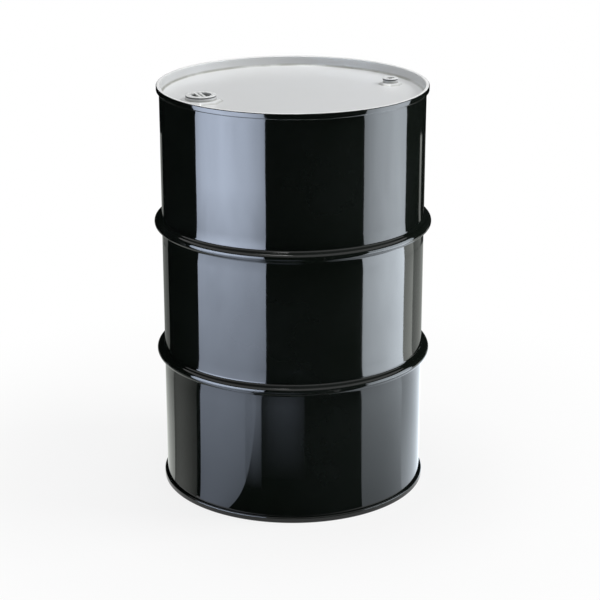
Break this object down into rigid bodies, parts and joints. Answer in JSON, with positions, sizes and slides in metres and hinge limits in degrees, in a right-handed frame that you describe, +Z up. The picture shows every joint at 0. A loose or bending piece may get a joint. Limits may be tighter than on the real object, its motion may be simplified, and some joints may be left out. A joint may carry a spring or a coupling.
{
  "type": "steel drum",
  "caption": "Tight-head steel drum with rolling hoops, seamed chimes, recessed heads and two screw closures in its top.",
  "frame": {"origin": "centre of the plane that the bottom chime stands on", "axes": "+Z up along the drum's axis, towards the head with the closures; +X to the right of the front view, in which the larger closure is at the left front and the smaller one at the right rear"},
  "size_m": [0.599, 0.599, 0.889],
  "materials": {
    "black_enamel": "gloss",
    "white_enamel": "gloss",
    "plug_enamel": "gloss",
    "zinc_plate": "satin",
    "gasket_rubber": "matte",
    "seam_compound": "matte"
  },
  "bodies": {
    "drum": {"body_shell": "black_enamel", "top_head": "white_enamel", "bottom_head": "black_enamel", "top_seam_compound": "seam_compound", "bottom_seam_compound": "seam_compound", "fill_flange": "zinc_plate", "fill_flange_gasket": "gasket_rubber", "vent_flange": "zinc_plate", "vent_flange_gasket": "gasket_rubber"},
    "fill_washer": {"fill_plug_gasket": "gasket_rubber"},
    "fill_screw": {"fill_plug": "plug_enamel"},
    "vent_washer": {"vent_plug_gasket": "gasket_rubber"},
    "vent_screw": {"vent_plug": "plug_enamel"}
  },
  "joints": [
    {"name": "fill_lift", "type": "slide", "parent": "drum", "child": "fill_washer", "axis": [0, 0, 1], "range_m": [0, 0.0254]},
    {"name": "fill_turn", "type": "hinge", "parent": "fill_washer", "child": "fill_screw", "pos_m": [-0.19127, -0.0765, 0.877], "axis": [0, 0, 1], "range_deg": [0, 3960]},
    {"name": "vent_lift", "type": "slide", "parent": "drum", "child": "vent_washer", "axis": [0, 0, 1], "range_m": [0, 0.0236]},
    {"name": "vent_turn", "type": "hinge", "parent": "vent_washer", "child": "vent_screw", "pos_m": [0.21095, 0.08652, 0.877], "axis": [0, 0, 1], "range_deg": [0, 4680]}
  ],
  "couplings": [
    {"joint": "fill_lift", "follows": "fill_turn", "m_per_rad": 0.00036749},
    {"joint": "vent_lift", "follows": "vent_turn", "m_per_rad": 0.00028871}
  ]
}
